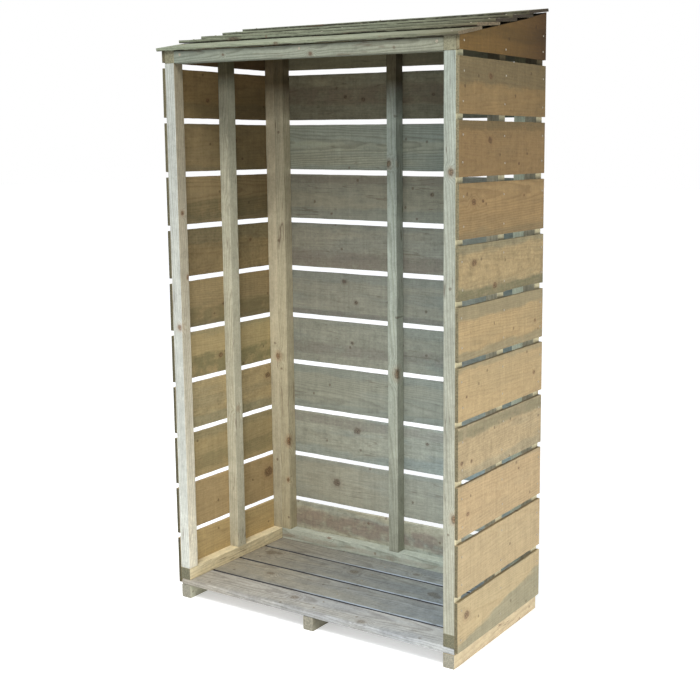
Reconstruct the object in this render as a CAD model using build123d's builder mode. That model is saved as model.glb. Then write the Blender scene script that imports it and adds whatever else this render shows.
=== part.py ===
# Open-fronted slatted log store with a lapped lean-to roof, in millimetres.
# X runs to the right, Y to the back, Z up. The origin is on the ground, under
# the middle of the centre bearer.
from build123d import *
import os

os.makedirs("parts", exist_ok=True)

# Driving sizes of the frame
frame_width = 992        # over the outer faces of the two side frames
frame_depth = 495        # front face to back face of the side frames
timber = 36              # thickness of every frame timber, seen across the panel
timber_depth = 37        # the same timber's other side, in the panel's plane
bearer_height = 41
front_height = 1681      # top of the side frames at the front face
roof_rise = 95           # how much higher the side frames are at the back face
middle_stile_setback = 230   # front face of the frame to the side middle stile

# Driving sizes of the floor
floor_thickness = 19
floor_board_width = 122
floor_gap = 8
floor_arris = 3          # rounding along the floor boards' upper edges

# Driving sizes of the wall boards
board_thickness = 10
board_width = 144
board_gap = 16
board_foot = 47          # underside of the lowest course, above the ground
tapered_board_least = 20     # least height of the tapered top board at the front

# Driving sizes of the roof
roof_board_width = 125
roof_board_thickness = 9
roof_board_count = 5
roof_front_overhang = 8
roof_left_overhang = 14
roof_right_overhang = 2
roof_arris = 2           # rounding along each roof board's weather edge

# Levels and faces that follow from them
front = -frame_depth / 2
back = frame_depth / 2
side = frame_width / 2
side_inner = side - timber
floor_top = bearer_height + floor_thickness
bottom_rail_top = floor_top + timber_depth
board_pitch = board_width + board_gap
board_courses = int((front_height - tapered_board_least - board_foot) // board_pitch)
top_course_foot = board_foot + board_courses * board_pitch
back_height = front_height + roof_rise
bay_width = 2 * side_inner
back_face = back + board_thickness
back_frame_front = back - timber_depth


def roof_line(y):
    """Height of the plane that the roof boards lie on, at depth y."""
    return front_height + (y - front) * roof_rise / frame_depth


# Base: three bearers front to back
bearer_places = {"left_bearer": -side, "centre_bearer": -timber / 2, "right_bearer": side_inner}
for name, x in bearer_places.items():
    with BuildPart() as bearer:
        with BuildSketch(Plane.XZ.offset(-front)):
            with Locations((x, 0)):
                Rectangle(timber, bearer_height, align=(Align.MIN, Align.MIN))
        extrude(amount=-frame_depth)
    bearer.part.label = name
    export_step(bearer.part, f"parts/{name}.step")

# Floor: four boards across the bearers, the front one cut narrower to fit
front_board_width = frame_depth - 3 * (floor_board_width + floor_gap)
board_front = front
for number in range(1, 5):
    width = front_board_width if number == 1 else floor_board_width
    with BuildPart() as floor_board:
        with BuildSketch(Plane.YZ.offset(-side)):
            with Locations((board_front, bearer_height)):
                Rectangle(width, floor_thickness, align=(Align.MIN, Align.MIN))
        extrude(amount=frame_width)
        upper_edges = floor_board.faces().sort_by(Axis.Z)[-1].edges().filter_by(Axis.X)
        fillet(upper_edges, floor_arris)
    floor_board.part.label = f"floor_board_{number}"
    export_step(floor_board.part, f"parts/floor_board_{number}.step")
    board_front += width + floor_gap


def side_timber(name, outline, x):
    """One timber of a side frame: an outline in the YZ plane, timber thick."""
    with BuildPart() as piece:
        with BuildSketch(Plane.YZ.offset(x)):
            with BuildLine():
                Polyline(*outline, close=True)
            make_face()
        extrude(amount=timber)
    piece.part.label = name
    export_step(piece.part, f"parts/{name}.step")


def stile_outline(near):
    """Side stile from the bottom rail to the sloped underside of the top rail."""
    far = near + timber_depth
    return [
        (near, bottom_rail_top),
        (far, bottom_rail_top),
        (far, roof_line(far) - timber_depth),
        (near, roof_line(near) - timber_depth),
    ]


# Side frames: level bottom rail, sloped top rail, three stiles bevel-cut to the slope
bottom_rail_outline = [(front, floor_top), (back, floor_top), (back, bottom_rail_top), (front, bottom_rail_top)]
top_rail_outline = [
    (front, front_height - timber_depth),
    (back, back_height - timber_depth),
    (back, back_height),
    (front, front_height),
]
for hand, x in (("left", -side), ("right", side_inner)):
    side_timber(f"{hand}_bottom_rail", bottom_rail_outline, x)
    side_timber(f"{hand}_top_rail", top_rail_outline, x)
    side_timber(f"{hand}_front_stile", stile_outline(front), x)
    side_timber(f"{hand}_middle_stile", stile_outline(front + middle_stile_setback), x)
    side_timber(f"{hand}_back_stile", stile_outline(back_frame_front), x)

# Back frame between the side frames: bottom rail, bevelled top rail, three stiles
back_top_rail_foot = roof_line(back_frame_front) - timber_depth
with BuildPart() as back_bottom_rail:
    with BuildSketch(Plane.YZ.offset(-side_inner)):
        with Locations((back_frame_front, floor_top)):
            Rectangle(timber_depth, timber_depth, align=(Align.MIN, Align.MIN))
    extrude(amount=bay_width)
back_bottom_rail.part.label = "back_bottom_rail"
export_step(back_bottom_rail.part, "parts/back_bottom_rail.step")

with BuildPart() as back_top_rail:
    with BuildSketch(Plane.YZ.offset(-side_inner)):
        with BuildLine():
            Polyline(
                (back_frame_front, back_top_rail_foot),
                (back, back_top_rail_foot),
                (back, back_height),
                (back_frame_front, roof_line(back_frame_front)),
                close=True,
            )
        make_face()
    extrude(amount=bay_width)
back_top_rail.part.label = "back_top_rail"
export_step(back_top_rail.part, "parts/back_top_rail.step")

back_stile_places = {
    "back_left_stile": -side_inner,
    "back_middle_stile": -timber / 2,
    "back_right_stile": side_inner - timber,
}
for name, x in back_stile_places.items():
    with BuildPart() as back_stile:
        with BuildSketch(Plane.XY.offset(bottom_rail_top)):
            with Locations((x, back_frame_front)):
                Rectangle(timber, timber_depth, align=(Align.MIN, Align.MIN))
        extrude(amount=back_top_rail_foot - bottom_rail_top)
    back_stile.part.label = name
    export_step(back_stile.part, f"parts/{name}.step")

# Header across the front, level with the ends of the side top rails
with BuildPart() as header:
    with BuildSketch(Plane.YZ.offset(-side_inner)):
        with Locations((front, front_height)):
            Rectangle(timber, timber_depth, align=(Align.MIN, Align.MAX))
    extrude(amount=bay_width)
header.part.label = "header"
export_step(header.part, "parts/header.step")

# Centre rafter from the header to the back top rail, its top in the roof plane
with BuildPart() as centre_rafter:
    rafter_front = front + timber
    with BuildSketch(Plane.YZ.offset(-timber / 2)):
        with BuildLine():
            Polyline(
                (rafter_front, roof_line(rafter_front) - timber_depth),
                (back_frame_front, roof_line(back_frame_front) - timber_depth),
                (back_frame_front, roof_line(back_frame_front)),
                (rafter_front, roof_line(rafter_front)),
                close=True,
            )
        make_face()
    extrude(amount=timber)
centre_rafter.part.label = "centre_rafter"
export_step(centre_rafter.part, "parts/centre_rafter.step")

# Side walls: full courses outside the frame, then one board tapered to the roof
course_feet = [board_foot + course * board_pitch for course in range(board_courses)]
for hand, x in (("left", -side - board_thickness), ("right", side)):
    with BuildPart() as side_boards:
        with BuildSketch(Plane.YZ.offset(x)):
            with Locations([(front, foot) for foot in course_feet]):
                Rectangle(frame_depth, board_width, align=(Align.MIN, Align.MIN))
            with BuildLine():
                Polyline(
                    (front, top_course_foot),
                    (back, top_course_foot),
                    (back, back_height),
                    (front, front_height),
                    close=True,
                )
            make_face()
        extrude(amount=board_thickness)
    side_boards.part.label = f"{hand}_wall_boards"
    export_step(side_boards.part, f"parts/{hand}_wall_boards.step")

# Back wall: the same courses between the side frames, the top one bevelled
with BuildPart() as back_boards:
    with BuildSketch(Plane.YZ.offset(-side_inner)):
        with Locations([(back, foot) for foot in course_feet]):
            Rectangle(board_thickness, board_width, align=(Align.MIN, Align.MIN))
        with BuildLine():
            Polyline(
                (back, top_course_foot),
                (back_face, top_course_foot),
                (back_face, roof_line(back_face)),
                (back, back_height),
                close=True,
            )
        make_face()
    extrude(amount=bay_width)
back_boards.part.label = "back_wall_boards"
export_step(back_boards.part, "parts/back_wall_boards.step")

# Roof: the first board lies flat on the rails. Each later one rests with its
# lower back edge on the rails and with its underside on the board below.
along = Vector(0, frame_depth, roof_rise).normalized()
roof_front = Vector(0, front - roof_front_overhang, roof_line(front - roof_front_overhang))
roof_back = Vector(0, back_face, roof_line(back_face))
roof_length = (roof_back - roof_front).length
roof_pitch = (roof_length - roof_board_width) / (roof_board_count - 1)
roof_left = -side - board_thickness - roof_left_overhang
roof_right = side + board_thickness + roof_right_overhang

rest_edge = None
for number in range(1, roof_board_count + 1):
    heel = roof_front + along * (roof_board_width + (number - 1) * roof_pitch)
    direction = along if rest_edge is None else (heel - rest_edge).normalized()
    normal = Vector(0, -direction.Z, direction.Y)
    board_plane = Plane(
        origin=(roof_left, heel.Y, heel.Z),
        x_dir=(0, direction.Y, direction.Z),
        z_dir=(1, 0, 0),
    )
    with BuildPart() as roof_board:
        with BuildSketch(board_plane):
            Rectangle(roof_board_width, roof_board_thickness, align=(Align.MAX, Align.MIN))
        extrude(amount=roof_right - roof_left)
        weather_edge = roof_board.edges().filter_by(Axis.X).group_by(Axis.Y)[0].sort_by(Axis.Z)[-1]
        fillet(weather_edge, roof_arris)
    roof_board.part.label = f"roof_board_{number}"
    export_step(roof_board.part, f"parts/roof_board_{number}.step")
    rest_edge = heel + normal * roof_board_thickness
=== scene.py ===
import math
import random

import bpy
import bmesh
from mathutils import Matrix, Vector


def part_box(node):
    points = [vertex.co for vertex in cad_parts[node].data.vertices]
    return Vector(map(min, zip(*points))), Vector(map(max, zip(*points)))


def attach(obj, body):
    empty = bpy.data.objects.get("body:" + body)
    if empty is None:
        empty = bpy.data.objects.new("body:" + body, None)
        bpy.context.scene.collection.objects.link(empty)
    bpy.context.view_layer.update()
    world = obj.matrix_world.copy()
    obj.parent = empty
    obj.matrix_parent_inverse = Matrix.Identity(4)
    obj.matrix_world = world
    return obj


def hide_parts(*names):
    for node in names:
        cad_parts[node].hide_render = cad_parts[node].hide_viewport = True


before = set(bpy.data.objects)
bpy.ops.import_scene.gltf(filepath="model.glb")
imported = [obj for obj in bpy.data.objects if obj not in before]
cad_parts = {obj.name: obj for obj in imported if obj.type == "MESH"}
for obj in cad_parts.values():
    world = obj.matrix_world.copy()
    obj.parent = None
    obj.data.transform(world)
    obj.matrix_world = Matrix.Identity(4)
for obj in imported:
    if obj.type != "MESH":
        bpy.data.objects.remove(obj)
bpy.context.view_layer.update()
mm = 0.001

# Sizes that the timbers share, read from the CAD frame
frame_low, frame_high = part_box("left_top_rail")
front_face = frame_low.y
back_face = frame_high.y
rail_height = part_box("header")[1].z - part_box("header")[0].z
front_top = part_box("header")[1].z
back_top = frame_high.z
roof_slope = (back_top - front_top) / (back_face - front_face)
roof_board_width = 125 * mm
roof_board_thickness = 9 * mm
course_pitch = 160 * mm
course_height = 144 * mm
course_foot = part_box("left_wall_boards")[0].z
full_courses = 10
half_course = course_height / 2

# How finely timbers are divided along their grain, how rough their faces are and how round their arrises
stile_parts, rail_parts, board_parts = 26, 14, 24
frame_roughness, wall_roughness, roof_roughness = 0.45 * mm, 0.6 * mm, 0.7 * mm
frame_arris, header_arris, floor_arris = 1.5 * mm, 2.0 * mm, 4.5 * mm
wall_arris, roof_arris = 0.9 * mm, 1.2 * mm
arris_angle = math.radians(40)
smooth_angle = math.radians(50)

# Each grain direction gives the axes along it, across it and through the timber
GRAIN_AXES = {"X": (0, 2, 1), "Y": (1, 2, 0), "Z": (2, 0, 1), "X_FLAT": (0, 1, 2)}
PLAIN = (1.0, 1.0, 1.0)
# Grey bands: lower end of the top one, upper end of the foot one, their strength and their lean
NO_BANDS = (1.0, -1.0, 0.0, 0.0)
# A stain, which on the roof boards is a painted shadow line: its height above the board's middle, half its
# height and its strength
NO_STAIN = (9.0, 1.0, 0.0)
# Painted shade at the head of a stile: its tone, and how far down it reaches
NO_HEAD_SHADE = (PLAIN, 1.0)


# Modelling helpers

def only(piece):
    """Leaves one piece selected and active, in object mode."""
    if bpy.context.object and bpy.context.object.mode != "OBJECT":
        bpy.ops.object.mode_set(mode="OBJECT")
    bpy.ops.object.select_all(action="DESELECT")
    if piece:
        piece.select_set(True)
        bpy.context.view_layer.objects.active = piece


def block(name, low, high, turn=0.0):
    """A squared timber: a cube at its size and place, turned about X."""
    only(None)
    middle = (Vector(low) + Vector(high)) / 2
    size = Vector(high) - Vector(low)
    bpy.ops.mesh.primitive_cube_add(size=1, location=middle, rotation=(turn, 0, 0), scale=size)
    piece = bpy.context.object
    piece.name = name
    piece.data.name = name
    only(piece)
    bpy.ops.object.transform_apply(location=True, rotation=True, scale=True)
    return piece


def saw(piece, place, normal):
    """Cuts a piece with a plane and keeps what lies behind the normal."""
    only(piece)
    bpy.ops.object.mode_set(mode="EDIT")
    bpy.ops.mesh.select_all(action="SELECT")
    bpy.ops.mesh.bisect(plane_co=place, plane_no=normal, use_fill=True, clear_outer=True)
    bpy.ops.object.mode_set(mode="OBJECT")


def divide(piece, grain, parts):
    """Divides a piece along its grain, so that it can be a little uneven."""
    only(piece)
    axis = GRAIN_AXES[grain][0]
    bpy.ops.object.mode_set(mode="EDIT")
    bpy.ops.mesh.select_mode(type="EDGE")
    bpy.ops.mesh.select_all(action="DESELECT")
    mesh = bmesh.from_edit_mesh(piece.data)
    for edge in mesh.edges:
        run = edge.verts[1].co - edge.verts[0].co
        edge.select_set(abs(run[axis]) > 0.8 * run.length)
    bmesh.update_edit_mesh(piece.data)
    bpy.ops.mesh.subdivide(number_cuts=parts - 1)
    bpy.ops.object.mode_set(mode="OBJECT")


def roughen(piece, amount, seed):
    """Moves each point of a piece a little, as on sawn timber."""
    only(piece)
    bpy.ops.object.mode_set(mode="EDIT")
    bpy.ops.mesh.select_all(action="SELECT")
    bpy.ops.transform.vertex_random(offset=amount, uniform=0.5, normal=0.0, seed=seed)
    bpy.ops.object.mode_set(mode="OBJECT")


def wane(piece, corner, inward, runs, axis=2):
    """Draws an arris that runs along an axis inward over some runs of its length, where bark once was."""
    only(piece)
    across = [other for other in range(3) if other != axis]
    for low, high, reach in runs:
        bpy.ops.object.mode_set(mode="EDIT")
        bpy.ops.mesh.select_mode(type="VERT")
        bpy.ops.mesh.select_all(action="DESELECT")
        mesh = bmesh.from_edit_mesh(piece.data)
        for point in mesh.verts:
            near = math.dist([point.co[other] for other in across], corner) < 3 * mm
            point.select_set(near and low < point.co[axis] < high)
        bmesh.update_edit_mesh(piece.data)
        bpy.ops.transform.translate(value=Vector(inward) * reach)
        bpy.ops.object.mode_set(mode="OBJECT")


def warp(piece, axis, start, reach, moving):
    """Lifts the points that moving picks, more and more from a place along an axis to the piece's end."""
    only(piece)
    steps = 12
    end = max(point.co[axis] for point in piece.data.vertices)
    for step in range(steps):
        bpy.ops.object.mode_set(mode="EDIT")
        bpy.ops.mesh.select_mode(type="VERT")
        bpy.ops.mesh.select_all(action="DESELECT")
        mesh = bmesh.from_edit_mesh(piece.data)
        line = start + (end - start) * step / steps
        for point in mesh.verts:
            point.select_set(point.co[axis] > line and moving(point.co))
        bmesh.update_edit_mesh(piece.data)
        bpy.ops.transform.translate(value=(0, 0, reach / steps))
        bpy.ops.object.mode_set(mode="OBJECT")


def ease(piece, width, segments=2):
    """Rounds the arrises of a piece."""
    only(piece)
    bevel = piece.modifiers.new("arris", "BEVEL")
    bevel.width = width
    bevel.segments = segments
    bevel.limit_method = "ANGLE"
    bevel.angle_limit = arris_angle
    bpy.ops.object.modifier_apply(modifier=bevel.name)
    bpy.ops.object.shade_smooth_by_angle(angle=smooth_angle)
    flat_faces = piece.modifiers.new("flat_faces", "WEIGHTED_NORMAL")
    flat_faces.keep_sharp = True
    bpy.ops.object.modifier_apply(modifier=flat_faces.name)


def mark(piece, seed, tone=PLAIN, far_tone=None, bands=NO_BANDS, figure=PLAIN, fade=(2, 1.0),
         stain=NO_STAIN, side_tones=(PLAIN, PLAIN), crown=NO_HEAD_SHADE):
    """Gives a piece its own place in the grain, and the tones, bands and stain that its material reads.

    The tone fades into the far tone along one axis, by a power of the way. The tones of the faces that look
    to the right, painted light and shade, fade the same way, and the head tone paints shade at the upper end.
    """
    draw = random.Random(seed)
    own = (draw.random(), draw.random(), draw.random())
    points = [point.co for point in piece.data.vertices]
    low = Vector(min(point[axis] for point in points) for axis in range(3))
    high = Vector(max(point[axis] for point in points) for axis in range(3))
    middle = (low + high) / 2
    fade_axis, fade_power = fade
    band_top, band_foot, band_strength, band_lean = bands
    crown_tone, crown_depth = crown
    names = ("mark", "place", "tone", "bands", "figure", "stain", "side")
    layers = {f"board_{name}": [] for name in names}
    for point in points:
        share = (point[fade_axis] - low[fade_axis]) / (high[fade_axis] - low[fade_axis])
        faded = Vector(tone).lerp(Vector(far_tone or tone), share ** fade_power)
        # Painted shade at the head, fading out over its depth below the head
        under = (high[fade_axis] - point[fade_axis]) / crown_depth
        crowned = Vector(crown_tone).lerp(Vector(PLAIN), min(max(2 * under - 1, 0), 1))
        faded = Vector(part * share for part, share in zip(faded, crowned))
        layers["board_mark"].extend(own)
        layers["board_place"].extend(point - middle)
        layers["board_tone"].extend(faded)
        leaning_foot = band_foot + band_lean * (point.y - middle.y)
        layers["board_bands"].extend((band_top, leaning_foot, band_strength))
        layers["board_figure"].extend(figure)
        layers["board_stain"].extend(stain)
        # Painted light and shade on the faces that look to the right
        layers["board_side"].extend(Vector(side_tones[0]).lerp(Vector(side_tones[1]), share))
    for name, values in layers.items():
        layer = piece.data.attributes.new(name, "FLOAT_VECTOR", "POINT")
        layer.data.foreach_set("vector", values)


def join(name, pieces):
    """Joins pieces into one object."""
    only(pieces[0])
    for piece in pieces:
        piece.select_set(True)
    if len(pieces) > 1:
        bpy.ops.object.join()
    pieces[0].name = name
    pieces[0].data.name = name
    return pieces[0]


def copied(piece, name, place):
    """A copy with its own mesh, moved by a matrix."""
    twin = piece.copy()
    twin.data = piece.data.copy()
    twin.name = name
    twin.data.transform(place)
    bpy.context.collection.objects.link(twin)
    return twin


def dress(piece, material, slot, *nodes):
    """Finishes a piece: its material, its body and the CAD nodes it stands for."""
    piece.data.materials.clear()
    piece.data.materials.append(material)
    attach(piece, "root")
    if nodes:
        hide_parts(*nodes)


def roof_plane(y):
    """Height of the plane that the roof boards lie on, at depth y."""
    return front_top + (y - front_face) * roof_slope


def rise(piece, axis, start, reach):
    """Lifts the edge of a piece that lies under the last roof board, which has warped."""
    warp(piece, axis, start, reach, lambda point: point.z > roof_plane(point.y) - 2 * mm)


ROOF_UP = Vector((0, -roof_slope, 1)).normalized()


# Materials

class Finish:
    """The nodes of one material, each input given as a number, a colour or a socket."""

    def __init__(self, name):
        self.material = bpy.data.materials.new(name)
        self.material.use_nodes = True
        self.tree = self.material.node_tree
        self.surface = self.tree.nodes["Principled BSDF"]

    def add(self, kind, inputs=None, **settings):
        node = self.tree.nodes.new(kind)
        for key, value in settings.items():
            setattr(node, key, value)
        for key, value in (inputs or {}).items():
            self.put(node.inputs[key], value)
        return node

    def put(self, socket, value):
        if isinstance(value, bpy.types.NodeSocket):
            self.tree.links.new(value, socket)
        else:
            socket.default_value = value

    def sum(self, operation, first, second=0.5, third=0.5):
        return self.add("ShaderNodeMath", {0: first, 1: second, 2: third}, operation=operation).outputs[0]

    def vector(self, operation, *values, output=0):
        inputs = dict(enumerate(values))
        return self.add("ShaderNodeVectorMath", inputs, operation=operation).outputs[output]

    def mix(self, share, first, second, blend="MIX"):
        node = self.add("ShaderNodeMix", data_type="RGBA", blend_type=blend)
        for place, value in zip((0, 6, 7), (share, first, second)):
            self.put(node.inputs[place], value)
        return node.outputs[2]

    def band(self, value, low, high):
        """0 at low, 1 at high, smooth between."""
        inputs = {"Value": value, "From Min": low, "From Max": high}
        return self.add("ShaderNodeMapRange", inputs, interpolation_type="SMOOTHSTEP").outputs[0]

    def noise(self, vector, scale, detail=2.0, roughness=0.5):
        inputs = {"Vector": vector, "Scale": scale, "Detail": detail, "Roughness": roughness}
        return self.add("ShaderNodeTexNoise", inputs).outputs[0]

    def stretched(self, parts, scales, detail=2.0, roughness=0.5):
        """Noise with its own scale along, across and through the timber."""
        scaled = [self.sum("MULTIPLY", part, scale) for part, scale in zip(parts, scales)]
        joined = self.add("ShaderNodeCombineXYZ", dict(enumerate(scaled))).outputs[0]
        return self.noise(joined, 1.0, detail, roughness)

    def split(self, vector, axes=(0, 1, 2)):
        outputs = self.add("ShaderNodeSeparateXYZ", {0: vector}).outputs
        return [outputs[axis] for axis in axes]

    def attribute(self, name):
        return self.add("ShaderNodeAttribute", attribute_name=name).outputs["Vector"]

    def about_one(self, noise, contrast, value=1.0):
        """Adds a noise to a value, so that it swings both ways by its contrast."""
        return self.sum("MULTIPLY_ADD", self.sum("SUBTRACT", noise, 0.5), contrast, value)


def colour(red, green, blue):
    return (red, green, blue, 1.0)


KNOT_HEART = colour(0.095, 0.056, 0.034)
KNOT_FLESH = colour(0.310, 0.195, 0.105)
RING_WIDTH = 0.0052
# How far each kind of marking swings about a timber's own tone
FIBRE, SPECK, MOTTLE, LEATHER, RIBS = 0.34, 0.34, 0.50, 0.42, 0.40
# How far dirt, pin knots, knot halos, knots and their rims cover the timber
DIRT, PINS, HALO, KNOT, RIM = 0.45, 0.55, 0.38, 0.85, 0.50


def nearest_knot(f, here, grain, knots):
    """Distance to the nearest knot, in knot radii."""
    stretch = [1.0, 1.0, 1.0]
    stretch[GRAIN_AXES[grain][0]] = 0.8
    drawn_out = f.vector("MULTIPLY", here, stretch)
    nearest = 9.0
    for *place, radius in knots:
        centre = [part * mm * share for part, share in zip(place, stretch)]
        gap = f.vector("DISTANCE", drawn_out, centre, output="Value")
        nearest = f.sum("MINIMUM", nearest, f.sum("DIVIDE", gap, radius * mm))
    return nearest


def wood(name, grain, pale, deep, weathered, end, saw_marks, rings, greying, knots=(), edge=None,
         knot_flesh=KNOT_FLESH, knot_heart=KNOT_HEART, streaks=0.25, cracks=0.6, stain=KNOT_HEART,
         arris_highlight=None):
    """Sawn timber with its grain along one axis.

    edge paints shade on the faces that look along an axis: its tone, the axis, where on that axis it starts
    and is full, and how squarely a face has to look. The last argument paints a highlight on front
    arrises: its tone, where it starts and is full from left to right, and the line that it lies behind.
    """
    f = Finish(name)
    texture = f.add("ShaderNodeTexCoord").outputs
    here = texture["Object"]
    own = f.attribute("board_mark")
    place = f.attribute("board_place")
    axes = GRAIN_AXES[grain]
    there = f.vector("MULTIPLY_ADD", own, (9.0, 9.0, 9.0), place)
    parts = f.split(there, axes)
    from_middle = f.split(place, axes)
    own_parts = f.split(own)
    nearest = nearest_knot(f, here, grain, knots)
    nearest = f.about_one(f.noise(here, 95.0, 3.0, 0.65), 1.5, nearest)
    figure = f.split(f.attribute("board_figure"))

    # Growth rings of a log whose heart lies behind the board, bent round the knots
    wander = f.stretched(parts, (3.0, 16.0, 16.0), 3.0, 0.55)
    aside = f.sum("MULTIPLY_ADD", f.sum("SUBTRACT", own_parts[0], 0.5), 0.10, from_middle[1])
    behind = f.sum("ADD", from_middle[2], f.sum("MULTIPLY_ADD", own_parts[1], 0.05, 0.025))
    squares = f.sum("ADD", f.sum("MULTIPLY", aside, aside), f.sum("MULTIPLY", behind, behind))
    reach = f.sum("SQRT", squares)
    swirl = f.band(nearest, 4.0, 0.3)
    count = f.sum("MULTIPLY_ADD", reach, 1 / RING_WIDTH, f.sum("MULTIPLY", parts[0], 5.0))
    count = f.sum("ADD", count, f.sum("MULTIPLY_ADD", wander, 3.2, f.sum("MULTIPLY", swirl, 2.6)))
    turn = f.sum("FRACT", count)
    ring = f.sum("MULTIPLY", f.band(turn, 0.35, 0.86), f.band(turn, 1.0, 0.88))

    # Fibres, saw marks across the grain, mottling and dirt
    fibre = f.stretched(parts, (14.0, 260.0, 260.0), 3.0, 0.6)
    streak = f.stretched(parts, (4.0, 62.0, 62.0), 3.0, 0.65)
    seam = f.sum("ABSOLUTE", f.sum("SUBTRACT", f.stretched(parts, (3.0, 46.0, 46.0), 2.0, 0.5), 0.5))
    open_runs = f.band(f.stretched(parts, (7.0, 20.0, 20.0), 2.0), 0.54, 0.62)
    crack = f.sum("MULTIPLY", f.band(seam, 0.016, 0.004), open_runs)
    ribs = f.stretched(parts, (95.0, 3.0, 3.0), 3.0, 0.75)
    mottle = f.noise(there, 26.0, 4.0, 0.6)
    leather = f.stretched(parts, (95.0, 130.0, 130.0), 3.0, 0.6)
    speck = f.noise(there, 300.0, 2.0, 0.6)
    dirt = f.band(f.noise(there, 120.0, 4.0, 0.7), 0.60, 0.72)
    flat = f.add("ShaderNodeCombineXYZ", {0: parts[0], 1: parts[1]}).outputs[0]
    cells = f.add("ShaderNodeTexVoronoi", {"Vector": flat, "Scale": 6.0}, voronoi_dimensions="2D")
    pins = f.band(f.about_one(leather, 0.03, cells.outputs["Distance"]), 0.034, 0.018)

    # Grey zones along the grain, and the board's own grey bands at its edges
    zone = f.band(f.stretched(parts, (2.2, 13.0, 13.0), 4.0, 0.6), 0.44, 0.62)
    zone = f.sum("MULTIPLY", zone, f.sum("MULTIPLY", figure[1], greying))
    bands = f.split(f.attribute("board_bands"))
    ragged = f.sum("MULTIPLY_ADD", f.stretched(parts, (9.0, 30.0, 30.0), 4.0, 0.6), 0.05, -0.025)
    level = f.sum("ADD", from_middle[1], ragged)
    top_band = f.band(f.sum("SUBTRACT", level, bands[0]), -0.004, 0.012)
    foot_band = f.band(f.sum("SUBTRACT", bands[1], level), -0.004, 0.012)
    banded = f.sum("MULTIPLY", f.sum("MAXIMUM", top_band, foot_band), bands[2])
    zone = f.sum("MAXIMUM", zone, banded)

    # A stain with a ragged outline, at one height of the board; on the roof boards it is a painted shadow
    # line under each front edge
    stains = f.split(f.attribute("board_stain"))
    shift = f.sum("MULTIPLY", f.sum("MULTIPLY", ragged, stains[1]), 36.0)
    height = f.sum("ADD", f.split(place)[2], shift)
    aside_of_stain = f.sum("ABSOLUTE", f.sum("SUBTRACT", height, stains[0]))
    stained = f.band(f.sum("DIVIDE", aside_of_stain, stains[1]), 1.25, 0.70)
    stained = f.sum("MULTIPLY", f.sum("MULTIPLY", stained, stains[2]), f.band(mottle, 0.30, 0.55))

    body = f.mix(zone, pale, weathered)
    body = f.mix(f.sum("MULTIPLY", ring, f.sum("MULTIPLY", figure[0], rings)), body, deep)
    body = f.mix(stained, body, stain)
    value = f.about_one(fibre, FIBRE)
    value = f.about_one(streak, streaks, value)
    value = f.about_one(mottle, f.sum("MULTIPLY", figure[2], MOTTLE), value)
    value = f.about_one(leather, f.sum("MULTIPLY", figure[2], LEATHER), value)
    value = f.about_one(speck, SPECK, value)
    value = f.about_one(ribs, RIBS * saw_marks, value)
    grey = f.add("ShaderNodeCombineColor", {0: value, 1: value, 2: value}).outputs[0]
    body = f.mix(1.0, body, grey, "MULTIPLY")
    body = f.mix(f.sum("MULTIPLY", dirt, DIRT), body, deep)
    body = f.mix(f.sum("MULTIPLY", crack, cracks), body, KNOT_HEART)
    body = f.mix(f.sum("MULTIPLY", pins, PINS), body, KNOT_HEART)

    # Knots: a warm halo, a dark rim and a streaked heart
    body = f.mix(f.sum("MULTIPLY", f.band(nearest, 2.6, 0.9), HALO), body, knot_flesh)
    heart = f.mix(f.band(f.noise(here, 300.0, 2.0), 0.42, 0.62), knot_heart, knot_flesh)
    body = f.mix(f.sum("MULTIPLY", f.band(nearest, 1.1, 0.6), KNOT), body, heart)
    rim = f.sum("MULTIPLY", f.band(nearest, 1.35, 1.0), f.band(nearest, 0.60, 0.95))
    body = f.mix(f.sum("MULTIPLY", rim, RIM), body, knot_heart)
    body = f.mix(1.0, body, f.attribute("board_tone"), "MULTIPLY")

    # Painted light and shade on the faces that look to the right, painted shade on edges, a painted highlight
    # on front arrises, and end grain where a face crosses the grain
    facing = f.split(texture["Normal"])
    side = f.mix(1.0, body, f.attribute("board_side"), "MULTIPLY")
    body = f.mix(f.band(facing[0], 0.60, 0.85), body, side)
    # Painted shade on the faces that look along an axis past a place
    if edge:
        edge_shade_tone, axis, start, full, turned = edge
        edge_shade = f.band(f.sum("ABSOLUTE", facing[axis]), turned, turned + 0.25)
        edge_shade = f.sum("MULTIPLY", edge_shade, f.band(f.split(here)[axis], start, full))
        body = f.mix(edge_shade, body, edge_shade_tone)
    # Painted highlight on the front arrises
    if arris_highlight:
        highlight_tone, start, full, behind_line = arris_highlight
        forward = f.sum("MULTIPLY", facing[1], -1.0)
        light = f.sum("MULTIPLY", f.band(forward, 0.15, 0.45), f.band(forward, 0.92, 0.75))
        light = f.sum("MULTIPLY", light, f.band(f.split(here)[0], start, full))
        light = f.sum("MULTIPLY", light, f.sum("GREATER_THAN", f.split(here)[1], behind_line))
        body = f.mix(f.sum("MULTIPLY", light, f.band(mottle, 0.25, 0.50)), body, highlight_tone)
    dark_end = colour(*(part * 0.60 for part in end[:3]))
    rough_end = f.mix(f.band(f.noise(there, 210.0, 4.0, 0.65), 0.35, 0.65), end, dark_end)
    body = f.mix(f.band(f.sum("ABSOLUTE", facing[axes[0]]), 0.60, 0.85), body, rough_end)

    f.put(f.surface.inputs["Base Color"], body)
    f.put(f.surface.inputs["Roughness"], f.about_one(fibre, 0.25, 0.80))
    f.surface.inputs["Specular IOR Level"].default_value = 0.22
    relief = f.sum("MULTIPLY_ADD", ribs, 0.8 * saw_marks, fibre)
    relief = f.sum("MULTIPLY_ADD", ring, 0.5 * rings, relief)
    relief = f.sum("MULTIPLY_ADD", mottle, 0.7, relief)
    bump = f.add("ShaderNodeBump", {"Strength": 0.45, "Distance": 0.0012, "Height": relief})
    f.put(f.surface.inputs["Normal"], bump.outputs[0])
    return f.material


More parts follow.
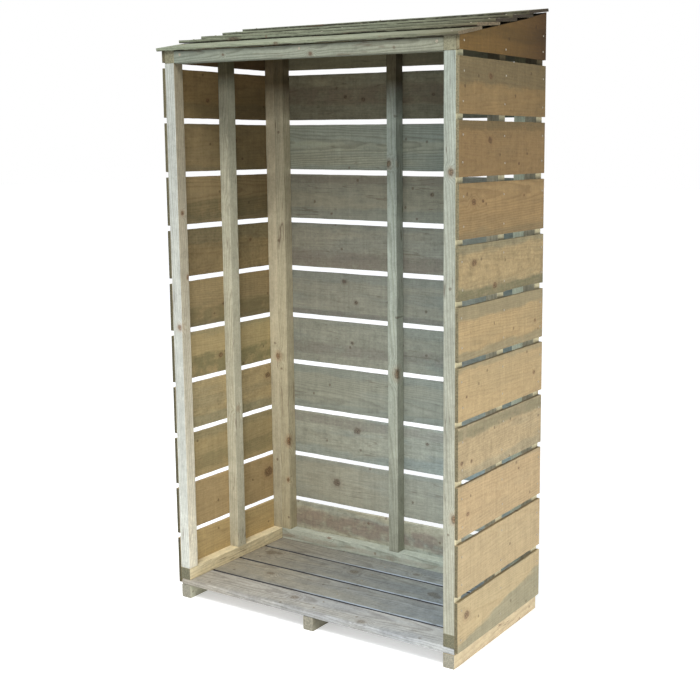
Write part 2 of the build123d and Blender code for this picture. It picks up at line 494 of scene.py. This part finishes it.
def metal(name, bright, dull):
    """Zinc on a nail head, dulled in spots."""
    f = Finish(name)
    here = f.add("ShaderNodeTexCoord").outputs["Object"]
    spots = f.noise(here, 700.0, 3.0, 0.6)
    f.put(f.surface.inputs["Base Color"], f.mix(f.band(spots, 0.4, 0.6), bright, dull))
    f.put(f.surface.inputs["Roughness"], f.about_one(spots, 0.3, 0.45))
    f.surface.inputs["Metallic"].default_value = 0.35
    return f.material


# Knots, each with its place and radius in millimetres
WALL_KNOTS = (
    (506, -82, 1587, 6), (506, -84, 1421, 7), (506, 85, 1357, 3), (506, -170, 1261, 7),
    (506, 118, 1268, 3), (506, -120, 1262, 4), (506, -166, 1102, 8), (506, -50, 1031, 7),
    (506, 198, 902, 4), (506, 195, 748, 5), (506, -203, 749, 3), (506, -228, 573, 5),
    (506, -175, 568, 4), (506, 105, 480, 3), (506, -195, 426, 5), (506, -198, 142, 10),
    (-496, -66, 1542, 5), (-496, -39, 740, 7), (-496, 193, 634, 8), (-496, 120, 1100, 4),
    (-496, 40, 300, 4), (-496, 187, 298, 15), (-496, 60, 1420, 4), (-496, -20, 905, 4),
)
BACK_KNOTS = (
    (-211, 247.5, 965, 6), (-165, 247.5, 470, 9), (-251, 247.5, 281, 10), (-165, 247.5, 899, 5),
    (-182, 247.5, 764, 4), (124, 247.5, 1255, 5), (130, 247.5, 1559, 4), (-199, 247.5, 1558, 5),
    (-130, 247.5, 1549, 5), (-259, 247.5, 1185, 3), (107, 247.5, 463, 4), (330, 247.5, 1240, 4),
    (380, 247.5, 430, 4),
)
UPRIGHT_KNOTS = (
    (-12, 210.5, 1349, 8), (29, 210.5, 1349, 8), (21, 210.5, 687, 13), (-421, 210.5, 409, 11),
    (-430, 210.5, 272, 5), (482, -247.5, 1340, 7), (494, -247.5, 424, 8), (-470, -247.5, 860, 7),
    (-461, -230, 1205, 5), (-461, -215, 1010, 5), (-470, 20, 1180, 6), (-470, 0, 560, 6),
    (-462, 205, 700, 9), (470, 210, 900, 7),
)
CROSS_KNOTS = ((41, -247.5, 1652, 5), (-270, -247.5, 1661, 3), (300, 247.5, 100, 6), (-260, 211, 98, 5))
ROOF_KNOTS = (
    (-304, -158, 1712, 12), (-72, -255, 1684, 5), (210, -90, 1726, 8), (-120, 60, 1752, 9),
    (330, 150, 1770, 7), (-400, 205, 1780, 8), (90, -200, 1700, 6),
)
FLOOR_KNOTS = (
    (-400, 78, 60, 14), (-372, 84, 60, 9), (-282, -70, 60, 10), (-64, 78, 60, 11), (249, 50, 60, 13),
    (272, 36, 60, 9), (-97, -185, 60, 9), (178, -229, 60, 9), (120, 160, 60, 8),
)

# The end grain colours are partly painted shade: the left wall's, darker, stands for the roof overhang's
# shade on the boards' front ends. The edge tone paints shade on the faces that look up or down at the top of
# the walls, under the last roof board.
side_board_woods = {
    side: wood(f"{side}_board_timber", "Y", colour(0.43, 0.32, 0.175), colour(0.20, 0.125, 0.06),
               colour(0.27, 0.24, 0.155), end, 0.9, 0.22, 0.35, WALL_KNOTS,
               edge=(colour(0.035, 0.025, 0.015), 2, 1.655, 1.665, 0.45), cracks=0.12,
               stain=colour(0.15, 0.14, 0.075))
    for side, end in (("left", colour(0.10, 0.088, 0.048)), ("right", colour(0.165, 0.142, 0.082)))
}
back_board_wood = wood("back_board_timber", "X", colour(0.30, 0.285, 0.21), colour(0.15, 0.135, 0.10),
                       colour(0.23, 0.245, 0.205), colour(0.17, 0.15, 0.10), 0.9, 0.22, 0.6, BACK_KNOTS,
                       knot_flesh=colour(0.19, 0.145, 0.10), knot_heart=colour(0.075, 0.055, 0.04),
                       streaks=0.42, cracks=0.35, stain=colour(0.155, 0.122, 0.100))
upright_wood = wood("upright_timber", "Z", colour(0.44, 0.435, 0.35), colour(0.26, 0.245, 0.18),
                    colour(0.38, 0.38, 0.31), colour(0.16, 0.15, 0.09), 0.15, 0.50, 0.5, UPRIGHT_KNOTS,
                    streaks=0.50)
side_rail_wood = wood("side_rail_timber", "Y", colour(0.44, 0.40, 0.27), colour(0.24, 0.20, 0.12),
                      colour(0.36, 0.35, 0.26), colour(0.18, 0.17, 0.108), 0.15, 0.35, 0.4, streaks=0.30)
bearer_wood = wood("bearer_timber", "Y", colour(0.44, 0.36, 0.23), colour(0.26, 0.20, 0.12),
                   colour(0.36, 0.33, 0.23), colour(0.325, 0.305, 0.235), 0.15, 0.35, 0.3)
# The edge tone paints shade on the faces that look up or down at the header's top and above it, under the
# first roof board
cross_rail_wood = wood("cross_rail_timber", "X", colour(0.25, 0.27, 0.215), colour(0.13, 0.14, 0.105),
                       colour(0.20, 0.225, 0.18), colour(0.16, 0.15, 0.09), 0.15, 0.65, 0.5, CROSS_KNOTS,
                       edge=(colour(0.03, 0.028, 0.02), 2, front_top - 6 * mm, front_top - 4 * mm, 0.30),
                       knot_flesh=colour(0.15, 0.12, 0.085), streaks=0.35, cracks=0.4,
                       stain=colour(0.15, 0.118, 0.085))
# The edge tone paints shade, partly dirt, on the faces in the gaps behind the front board; the last tone
# paints a highlight on the front arrises of the boards behind it, stronger to the right
floor_wood = wood("floor_timber", "X_FLAT", colour(0.37, 0.36, 0.33), colour(0.17, 0.155, 0.14),
                  colour(0.29, 0.30, 0.31), colour(0.16, 0.15, 0.11), 0.15, 0.45, 0.6, FLOOR_KNOTS,
                  edge=(colour(0.045, 0.045, 0.050), 1, front_face + 12 * mm, front_face + 30 * mm, 0.72),
                  knot_flesh=colour(0.28, 0.25, 0.21), knot_heart=colour(0.15, 0.13, 0.11),
                  streaks=0.40, cracks=0.3,
                  arris_highlight=(colour(0.35, 0.41, 0.47), -0.30, 0.10, front_face + 20 * mm))
# The stain colour paints the shadow line under each board's front edge; the darker end tone of the upper
# boards is partly their end grain and partly painted shade
roof_woods = {
    name: wood(name, "X_FLAT", colour(0.145, 0.15, 0.11), colour(0.065, 0.068, 0.045),
               colour(0.115, 0.125, 0.095), end, 0.4, 0.45, 0.6, ROOF_KNOTS,
               knot_flesh=colour(0.100, 0.076, 0.052), knot_heart=colour(0.045, 0.034, 0.024),
               streaks=0.45, stain=colour(0.022, 0.02, 0.014))
    for name, end in (("roof_board_timber", colour(0.155, 0.120, 0.072)),
                      ("roof_board_shaded_end", colour(0.045, 0.034, 0.021)))
}
nail_zinc = metal("nail_zinc", colour(0.36, 0.32, 0.24), colour(0.17, 0.15, 0.11))


# Frame timbers

def plain_timber(node, grain, material, seed, tone=PLAIN, far_tone=None, arris=frame_arris, cuts=(),
                 waney=None, slot="frame_timber", lift=0.0, segments=2, top_rise=None, **marks):
    """A straight timber in a CAD node's box, sawn by the planes in cuts.

    top_rise lifts its upper edge, and waney draws one of its arrises inward.
    """
    low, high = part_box(node)
    piece = block(node + "_timber", low, high + Vector((0, 0, lift)))
    for place, normal in cuts:
        saw(piece, place, normal)
    divide(piece, grain, stile_parts if grain == "Z" else rail_parts)
    if top_rise:
        rise(piece, *top_rise)
    if waney:
        wane(piece, *waney)
    roughen(piece, frame_roughness, seed)
    ease(piece, arris, segments)
    mark(piece, seed, tone, far_tone, fade=(2 if grain == "Z" else 0, 1.0), **marks)
    dress(piece, material, slot, node)
    return piece


roof_top_cut = (Vector((0, front_face, front_top)), ROOF_UP)
# At the back the timbers stand a little high, so that no light shows under the last roof board
back_lift = 1.2 * mm
back_top_cut = (Vector((0, front_face, front_top + back_lift)), ROOF_UP)
rail_underside = Vector((0, front_face, front_top - rail_height))
rail_foot_cut = (rail_underside, -ROOF_UP)
stile_top_cut = (rail_underside, ROOF_UP)

plain_timber("left_bearer", "Y", bearer_wood, 11, (0.90, 1.08, 1.25))
plain_timber("centre_bearer", "Y", bearer_wood, 12, (0.50, 0.58, 0.67))
plain_timber("right_bearer", "Y", bearer_wood, 13)
plain_timber("left_bottom_rail", "Y", side_rail_wood, 14, (1.62, 1.50, 1.38))
plain_timber("right_bottom_rail", "Y", side_rail_wood, 15)
# The last roof board has warped at its right end, and the timbers under it follow
last_board_warp = 5.5 * mm
last_board_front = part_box("roof_board_5")[0].y
rail_rises = {"right_top_rail": (1, last_board_front, last_board_warp - 1.2 * mm)}
for number, node in enumerate(("left_top_rail", "right_top_rail", "centre_rafter")):
    plain_timber(node, "Y", side_rail_wood, 16 + number, (0.6, 0.6, 0.55),
                 cuts=(roof_top_cut, rail_foot_cut), top_rise=rail_rises.get(node))

# Where bark once was on two inner stiles: from and to on their height, and how far inward
wane_runs = {
    "left_middle_stile": (
        (1.48, 1.60, 3 * mm), (1.20, 1.42, 5 * mm), (0.92, 1.12, 4 * mm), (0.50, 0.62, 3 * mm),
    ),
    "back_middle_stile": ((1.38, 1.62, 4 * mm), (1.00, 1.22, 3 * mm), (0.70, 0.86, 3 * mm)),
}
waney_edges = {}
for node, runs in wane_runs.items():
    low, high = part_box(node)
    waney_edges[node] = ((high.x, low.y), (-1, 1, 0), runs)
# Tones of each stile at its foot and at its head; where a head is darker, that is partly the timber's own
# tone and partly painted shade under the roof
upright_tones = {
    "left_front_stile": ((1.28, 1.31, 1.44), (0.66, 0.69, 0.76)),
    "left_middle_stile": ((1.24, 1.16, 1.05), (0.70, 0.69, 0.63)),
    "left_back_stile": ((0.93, 0.84, 0.71), (1.38, 1.21, 1.02)),
    "right_front_stile": ((0.85, 0.84, 0.81), (0.48, 0.54, 0.57)),
    "right_middle_stile": ((0.85, 0.80, 0.72), (0.60, 0.60, 0.55)),
    "right_back_stile": ((0.85, 0.80, 0.72), (0.60, 0.60, 0.55)),
    "back_left_stile": ((1.00, 0.88, 0.70), (1.09, 0.99, 0.85)),
    "back_middle_stile": ((0.75, 0.78, 0.76), (0.79, 0.92, 1.00)),
    "back_right_stile": ((1.03, 1.12, 1.10), (1.08, 1.24, 1.20)),
}
# The same for the faces that look to the right, against the rest of the stile: painted light and shade from
# the light that falls from the right
right_face_light_tones = {
    "left_front_stile": ((1.36, 1.25, 1.12), (0.66, 0.55, 0.41)),
    "right_front_stile": ((1.25, 1.17, 1.02), (2.0, 1.75, 1.35)),
    "right_middle_stile": ((1.10, 1.08, 1.00), (1.6, 1.55, 1.40)),
    "right_back_stile": ((1.15, 1.13, 1.05), (1.8, 1.70, 1.50)),
}
# Painted shade: the heads of the inner stiles are darkened where the roof shades them
roof_head_shade = ((0.19, 0.16, 0.115), 255 * mm)
crowns = {
    "left_middle_stile": ((0.28, 0.25, 0.18), 135 * mm),
    "back_middle_stile": ((0.20, 0.145, 0.09), 250 * mm),
}
for node in ("left_back_stile", "right_middle_stile", "right_back_stile", "back_left_stile",
             "back_right_stile"):
    crowns[node] = roof_head_shade
for number, (node, (foot_tone, head_tone)) in enumerate(upright_tones.items()):
    cuts = () if node.startswith("back_") else (stile_top_cut,)
    plain_timber(node, "Z", upright_wood, 20 + number, foot_tone, head_tone, cuts=cuts,
                 waney=waney_edges.get(node), side_tones=right_face_light_tones.get(node, (PLAIN, PLAIN)),
                 crown=crowns.get(node, NO_HEAD_SHADE))

plain_timber("back_bottom_rail", "X", cross_rail_wood, 40, (1.92, 1.80, 1.82), (1.82, 1.95, 2.15),
             stain=(-0.004, 0.008, 0.35))
# The header's top stands a little low, which leaves a dark line under the roof
header_relief = (Vector((0, 0, front_top - 2.5 * mm)), Vector((0, 0, 1)))
plain_timber("header", "X", cross_rail_wood, 41, (0.69, 0.70, 0.69), (0.69, 0.65, 0.60),
             cuts=(header_relief,), arris=header_arris)
plain_timber("back_top_rail", "X", cross_rail_wood, 42, (0.5, 0.5, 0.5), cuts=(back_top_cut,), lift=back_lift)

# Floor boards from the front one to the back one, with well rounded arrises, by their left and right tones
floor_tones = (
    ((0.94, 0.88, 0.78), (1.10, 1.17, 1.24)), ((0.87, 0.77, 0.58), (0.62, 0.75, 0.86)),
    ((0.73, 0.65, 0.50), (0.53, 0.67, 0.77)), ((0.69, 0.62, 0.49), (0.62, 0.77, 0.87)),
)
for number in range(1, 5):
    left_tone, right_tone = floor_tones[number - 1]
    plain_timber(f"floor_board_{number}", "X_FLAT", floor_wood, 70 + number, left_tone, right_tone,
                 arris=floor_arris, slot="floor_timber", segments=4, figure=(1.0, 1.0, 1.4))


# Walls

def wall(node, grain, material, slot, seed, tones, bands, figures, top_cut, far_tints, stains, lift=0.0,
         waney=None, top_rise=None):
    """Full courses copied from one board, and the top course cut to the roof.

    top_rise lifts the upper edge of the top course, and waney draws an arris of one course inward.
    """
    low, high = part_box(node)
    along = GRAIN_AXES[grain][0]
    first = block("board", low, (high.x, high.y, low.z + course_height))
    divide(first, grain, board_parts)
    boards = [first]
    for course in range(1, full_courses):
        boards.append(copied(first, f"board_{course}", Matrix.Translation((0, 0, course * course_pitch))))
    top = block("top_board", (low.x, low.y, low.z + full_courses * course_pitch), high + Vector((0, 0, lift)))
    saw(top, *top_cut)
    divide(top, grain, board_parts)
    if top_rise:
        rise(top, *top_rise)
    boards.append(top)
    for course, board in enumerate(boards):
        if waney and course == waney[0]:
            wane(board, *waney[1:], axis=along)
        roughen(board, wall_roughness, seed + course)
        ease(board, wall_arris)
        far_tone = [part * share for part, share in zip(tones[course], far_tints.get(course, PLAIN))]
        mark(board, seed + course, tones[course], far_tone, bands[course], figures[course], (along, 2.0),
             stains.get(course, NO_STAIN))
    piece = join(node + "_timber", boards)
    dress(piece, material, slot, node)
    return piece


def edge_bands(top, foot, strength, lean=0.0):
    """Grey bands along a board's upper and lower edges, given by their heights in millimetres."""
    return (half_course - top * mm, foot * mm - half_course, strength, lean)


# Tones of the boards from the lowest course to the top one; the darker upper courses are partly the boards'
# own tone and partly painted shade
right_tones = (
    (0.76, 0.81, 0.84), (0.72, 0.75, 0.78), (0.72, 0.72, 0.73), (0.66, 0.69, 0.72),
    (0.69, 0.69, 0.66), (0.67, 0.66, 0.61), (0.60, 0.61, 0.57), (0.51, 0.46, 0.375),
    (0.40, 0.35, 0.275), (0.43, 0.385, 0.30), (0.285, 0.222, 0.112),
)
left_tones = (
    (1.12, 1.10, 0.94), (0.93, 0.90, 0.80), (0.87, 0.89, 0.79), (0.93, 0.96, 0.89),
    (0.86, 0.88, 0.78), (0.64, 0.64, 0.57), (0.43, 0.42, 0.36), (0.49, 0.48, 0.42),
    (0.43, 0.42, 0.36), (0.50, 0.44, 0.33), (0.17, 0.14, 0.105),
)
back_tones = (
    (1.40, 1.33, 1.24), (1.03, 1.03, 1.03), (0.97, 1.01, 1.04), (0.86, 0.90, 0.92),
    (0.78, 0.81, 0.84), (0.75, 0.76, 0.78), (0.78, 0.77, 0.77), (0.88, 0.86, 0.83),
    (1.12, 1.18, 1.17), (0.56, 0.51, 0.42), (0.44, 0.41, 0.32),
)
right_bands = (
    edge_bands(0, 62, 0.85, 0.16), edge_bands(0, 0, 0.0), edge_bands(8, 0, 0.4), edge_bands(40, 30, 0.5),
    edge_bands(14, 0, 0.6), edge_bands(40, 26, 0.8), edge_bands(22, 34, 0.8), edge_bands(0, 26, 0.6),
    edge_bands(20, 0, 0.4), edge_bands(74, 0, 0.8), NO_BANDS,
)
left_bands = (
    edge_bands(0, 30, 0.6), edge_bands(0, 0, 0.0), edge_bands(30, 0, 0.5), edge_bands(0, 40, 0.7),
    edge_bands(20, 0, 0.5), edge_bands(0, 20, 0.5), edge_bands(50, 0, 0.6), edge_bands(0, 30, 0.5),
    edge_bands(10, 20, 0.5), edge_bands(0, 50, 0.6), NO_BANDS,
)
back_bands = (
    edge_bands(0, 90, 0.5), edge_bands(20, 0, 0.5), edge_bands(0, 30, 0.6), edge_bands(30, 30, 0.5),
    edge_bands(0, 0, 0.0), edge_bands(30, 20, 0.5), edge_bands(20, 0, 0.5), edge_bands(0, 40, 0.6),
    edge_bands(60, 20, 0.6), edge_bands(10, 50, 0.6), NO_BANDS,
)
# Strength of the growth rings, the grey zones and the mottling in each board, from the lowest
side_figures = (
    (0.8, 0.3, 0.7), (0.6, 0.2, 0.7), (0.7, 0.4, 0.8), (0.8, 1.2, 1.5), (0.6, 0.4, 0.7), (0.9, 0.6, 0.8),
    (1.0, 1.2, 1.6), (1.6, 0.5, 0.9), (0.6, 0.5, 1.0), (0.8, 0.6, 1.0), (0.5, 0.2, 0.7),
)
back_figures = (
    (0.8, 1.6, 1.6), (0.6, 0.6, 0.9), (0.8, 1.2, 1.2), (1.4, 0.5, 0.8), (0.6, 0.8, 1.3), (0.7, 0.9, 1.1),
    (0.6, 0.6, 1.2), (0.5, 0.5, 0.9), (2.5, 0.8, 0.7), (0.8, 0.8, 1.5), (0.6, 0.4, 0.8),
)
# Tints of the far end of a course, at the right of the back wall and at the back of the side walls; partly
# the boards' own tint and partly painted light and shade, such as the bluish cast at the right of the back
# wall and the darker far ends of the top courses
back_far_tints = {course: (1.07, 1.35, 1.72) for course in range(3)}
back_far_tints |= {course: (0.74, 0.94, 1.11) for course in range(4, 8)}
back_far_tints |= {
    3: (0.90, 1.10, 1.35), 8: (0.52, 0.70, 0.88), 9: (0.55, 0.70, 0.85), 10: (0.40, 0.45, 0.50),
}
left_far_tints = {9: (0.66, 0.66, 0.68), 6: (1.40, 1.44, 1.46), 4: (1.15, 1.20, 1.20), 0: (1.10, 1.10, 1.10)}
right_far_tints = {9: (0.86, 0.84, 0.80), 10: (0.40, 0.34, 0.30)}

# Stains, each with its height above the board's middle, half its height and its strength
left_stains = {
    9: (-0.020, 0.030, 0.25), 7: (-0.030, 0.030, 0.5), 5: (-0.045, 0.030, 0.5), 4: (-0.044, 0.036, 0.65),
    2: (-0.030, 0.025, 0.35),
}
right_stains = {
    8: (0.060, 0.012, 0.4), 6: (-0.060, 0.014, 0.6), 3: (0.052, 0.016, 0.5), 10: (-0.010, 0.020, 0.3),
}
back_stains = {
    9: (0.005, 0.030, 0.55), 7: (0.055, 0.012, 0.4), 6: (-0.045, 0.026, 0.50), 5: (-0.062, 0.008, 0.4),
    4: (-0.022, 0.020, 0.40), 2: (0.052, 0.016, 0.40), 0: (0.018, 0.030, 0.75),
}
# The seventh course of the right wall keeps a bark edge at its lower outer arris
lower_outer_arris = (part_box("right_wall_boards")[1].x, course_foot + 6 * course_pitch)
bark_runs = ((0.02, 0.24, 1.5 * mm), (0.08, 0.20, 1.5 * mm), (0.12, 0.17, 1.5 * mm))
bark_edge = (6, lower_outer_arris, (-1, 0, 1), bark_runs)
wall("left_wall_boards", "Y", side_board_woods["left"], "side_board_timber", 100, left_tones, left_bands,
     side_figures, roof_top_cut, left_far_tints, left_stains)
wall("right_wall_boards", "Y", side_board_woods["right"], "side_board_timber", 120, right_tones,
     right_bands, side_figures, roof_top_cut, right_far_tints, right_stains, waney=bark_edge,
     top_rise=(1, last_board_front, last_board_warp - 0.7 * mm))
wall("back_wall_boards", "X", back_board_wood, "back_board_timber", 140, back_tones, back_bands,
     back_figures, back_top_cut, back_far_tints, back_stains, lift=back_lift,
     top_rise=(0, 0.0, 0.85 * last_board_warp))

# Roof boards, each at its own tilt
roof_tilts = {}
first_roof_tone = (1.27, 1.33, 1.24)
upper_roof_tone = (1.15, 1.19, 1.12)
# Towards their right ends the boards darken: partly the timber's own tone, partly painted shade
roof_right_shade_tone = (0.64, 0.55, 0.43)
# A painted shadow line along the foot of each board's front edge, where it overhangs the board below: its
# height above the foot, and half its width
lower_roof_shadow_line = (1.2 * mm, 1.6 * mm)
upper_roof_shadow_line = (2.2 * mm, 2.6 * mm)

for number in range(1, 6):
    node = f"roof_board_{number}"
    low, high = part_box(node)
    depth = high.y - low.y
    height = high.z - low.z
    spread = roof_board_width ** 2 - roof_board_thickness ** 2
    tilt = math.asin((roof_board_width * height - roof_board_thickness * depth) / spread)
    roof_tilts[node] = tilt
    middle = (low + high) / 2
    half = Vector((high.x - low.x, roof_board_width, roof_board_thickness)) / 2
    board = block(node + "_timber", middle - half, middle + half, turn=tilt)
    divide(board, "X", board_parts)
    if number == 5:
        warp(board, 0, 0.0, last_board_warp, lambda point: point.y > middle.y)
    roughen(board, roof_roughness, 160 + number)
    ease(board, roof_arris)
    line_height, line_half = upper_roof_shadow_line if number > 3 else lower_roof_shadow_line
    mark(board, 160 + number, first_roof_tone if number == 1 else upper_roof_tone, roof_right_shade_tone,
         figure=(1.0, 1.0, 1.3), fade=(0, 4.0), stain=(line_height - height / 2, line_half, 0.95))
    dress(board, roof_woods["roof_board_timber" if number < 3 else "roof_board_shaded_end"],
          "roof_board_timber", node)


# Nails and screws

def nail_head(name, radius, proud):
    """A flat nail head at the origin, looking up, with its rim rounded."""
    only(None)
    bpy.ops.mesh.primitive_cylinder_add(vertices=12, radius=radius, depth=2 * proud, location=(0, 0, 0))
    head = bpy.context.object
    head.name = name
    bpy.ops.object.mode_set(mode="EDIT")
    bpy.ops.mesh.select_mode(type="FACE")
    bpy.ops.mesh.select_all(action="DESELECT")
    mesh = bmesh.from_edit_mesh(head.data)
    for face in mesh.faces:
        face.select_set(face.normal.z > 0.9)
    bmesh.update_edit_mesh(head.data)
    bpy.ops.mesh.inset(thickness=radius * 0.3)
    bpy.ops.transform.translate(value=(0, 0, proud * 0.5))
    bpy.ops.object.mode_set(mode="OBJECT")
    bpy.ops.object.shade_smooth_by_angle(angle=smooth_angle)
    return head


def drive(name, head, places, outward):
    """Copies of one head, driven at each place against a face that looks outward."""
    turn = Vector(outward).to_track_quat("Z", "Y").to_matrix().to_4x4()
    heads = [copied(head, name, Matrix.Translation(place) @ turn) for place in places]
    piece = join(name, heads)
    dress(piece, nail_zinc, None)
    return piece


# Heights of the two nails above the foot of a full board and of a top board
nail_lifts = (32 * mm, 110 * mm)
top_nail_lifts = (17 * mm, 70 * mm)
# How far a nail strays from its line and from its height, in millimetres
aside_stray, height_stray = 5, 7
clear_of_roof = 10 * mm


def wall_nail_places(node, uprights, axis, face):
    """Two nails where each board crosses each upright, each a little off its line."""
    draw = random.Random(node)
    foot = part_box(node)[0].z
    places = []
    for upright in uprights:
        low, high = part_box(upright)
        line = (low[axis] + high[axis]) / 2
        roof_here = roof_plane(line if axis == 1 else back_face)
        for course in range(full_courses + 1):
            for lift in nail_lifts if course < full_courses else top_nail_lifts:
                across = line + draw.uniform(-aside_stray, aside_stray) * mm
                height = foot + course * course_pitch + lift + draw.uniform(-height_stray, height_stray) * mm
                if height <= roof_here - clear_of_roof:
                    places.append((face, across, height) if axis == 1 else (across, face, height))
    return places


nail = nail_head("nail", 2.8 * mm, 0.9 * mm)
for side, corner, way in (("left", 0, -1), ("right", 1, 1)):
    boards = f"{side}_wall_boards"
    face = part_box(boards)[corner].x
    uprights = [f"{side}_{place}_stile" for place in ("front", "middle", "back")]
    drive(f"{side}_wall_nails", nail, wall_nail_places(boards, uprights, 1, face), (way, 0, 0))
rear_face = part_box("back_wall_boards")[1].y
back_uprights = ("back_left_stile", "back_middle_stile", "back_right_stile")
drive("back_wall_nails", nail, wall_nail_places("back_wall_boards", back_uprights, 0, rear_face), (0, 1, 0))

# Roof nails stand square to each tilted board, over the rails
rail_lines = []
for node in ("left_top_rail", "centre_rafter", "right_top_rail"):
    low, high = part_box(node)
    rail_lines.append((low.x + high.x) / 2)
roof_nail_lines = (-42 * mm, 12 * mm)
roof_nails = []
for number in range(1, 6):
    node = f"roof_board_{number}"
    low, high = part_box(node)
    tilt = roof_tilts[node]
    place = Matrix.Translation((low + high) / 2) @ Matrix.Rotation(tilt, 4, "X")
    for line in rail_lines:
        for across in roof_nail_lines:
            up = Matrix.Translation((line - (low.x + high.x) / 2, across, roof_board_thickness / 2))
            roof_nails.append(copied(nail, "roof_nail", place @ up))
dress(join("roof_nails", roof_nails), nail_zinc, None)

bearer_low, bearer_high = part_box("centre_bearer")
centre_line = (bearer_low.x + bearer_high.x) / 2
floor_nails = []
for number in range(1, 5):
    low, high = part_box(f"floor_board_{number}")
    for share in (0.28, 0.74):
        floor_nails.append((centre_line, low.y + share * (high.y - low.y), high.z))
drive("floor_nails", nail, floor_nails, (0, 0, 1))

screw = nail_head("screw", 4.2 * mm, 0.8 * mm)
screw_height = front_top - 13 * mm
screw_places = [(x * mm, front_face, screw_height) for x in (-435, 3, 440)]
drive("header_screws", screw, screw_places, (0, -1, 0))
for pattern in (nail, screw):
    bpy.data.objects.remove(pattern)

# Pale floor, soft light and the camera
only(None)
bpy.ops.mesh.primitive_plane_add(size=60, location=(0, 0, 0))
ground = bpy.context.object
ground.name = "studio_floor"
paper = bpy.data.materials.new("studio_paper")
paper.use_nodes = True
paper_surface = paper.node_tree.nodes["Principled BSDF"]
paper_surface.inputs["Base Color"].default_value = (0.86, 0.86, 0.86, 1)
paper_surface.inputs["Roughness"].default_value = 0.9
paper_surface.inputs["Emission Color"].default_value = (1, 1, 1, 1)
paper_surface.inputs["Emission Strength"].default_value = 0.40
ground.data.materials.append(paper)


def soft_light(name, place, aim, size, power, tone):
    """A square area light aimed at a point."""
    lamp = bpy.data.lights.new(name, "AREA")
    lamp.shape = "SQUARE"
    lamp.size = size
    lamp.energy = power
    lamp.color = tone
    holder = bpy.data.objects.new(name, lamp)
    holder.location = place
    holder.rotation_euler = (Vector(aim) - Vector(place)).to_track_quat("-Z", "Y").to_euler()
    bpy.context.collection.objects.link(holder)


soft_light("front_light", (0.7, -1.9, 3.8), (-0.1, 0, 0.3), 1.5, 150, (0.97, 0.98, 1.0))
soft_light("right_light", (2.0, -0.3, 0.20), (0.5, 0.05, 0.25), 0.8, 22, (1.0, 0.97, 0.92))


def studio_sky():
    """White round the horizon, dim above it and bright overhead."""
    world = bpy.data.worlds.new("studio")
    world.use_nodes = True
    tree = world.node_tree
    direction = tree.nodes.new("ShaderNodeTexCoord")
    height = tree.nodes.new("ShaderNodeSeparateXYZ")
    ramp = tree.nodes.new("ShaderNodeValToRGB")
    steps = ramp.color_ramp.elements
    steps[0].position = 0.13
    steps[0].color = (1, 1, 1, 1)
    steps[1].position = 0.20
    steps[1].color = (0.14, 0.15, 0.16, 1)
    steps.new(0.6).color = (0.85, 0.88, 0.92, 1)
    tree.links.new(direction.outputs["Generated"], height.inputs[0])
    tree.links.new(height.outputs[2], ramp.inputs[0])
    tree.links.new(ramp.outputs[0], tree.nodes["Background"].inputs[0])
    bpy.context.scene.world = world


studio_sky()
bpy.context.scene.view_settings.view_transform = "Standard"

photo_side = 700
focal_pixels = 1153.9
centre_of_view = (433.2, 312.4)
camera_data = bpy.data.cameras.new("camera")
camera_data.sensor_width = 36.0
camera_data.lens = focal_pixels / photo_side * camera_data.sensor_width
camera_data.shift_x = 0.5 - centre_of_view[0] / photo_side
camera_data.shift_y = centre_of_view[1] / photo_side - 0.5
camera = bpy.data.objects.new("camera", camera_data)
camera.location = (1.9805, -2.7995, 1.4156)
camera.rotation_euler = (math.radians(81.607), 0, math.radians(31.292))
bpy.context.collection.objects.link(camera)
bpy.context.scene.camera = camera
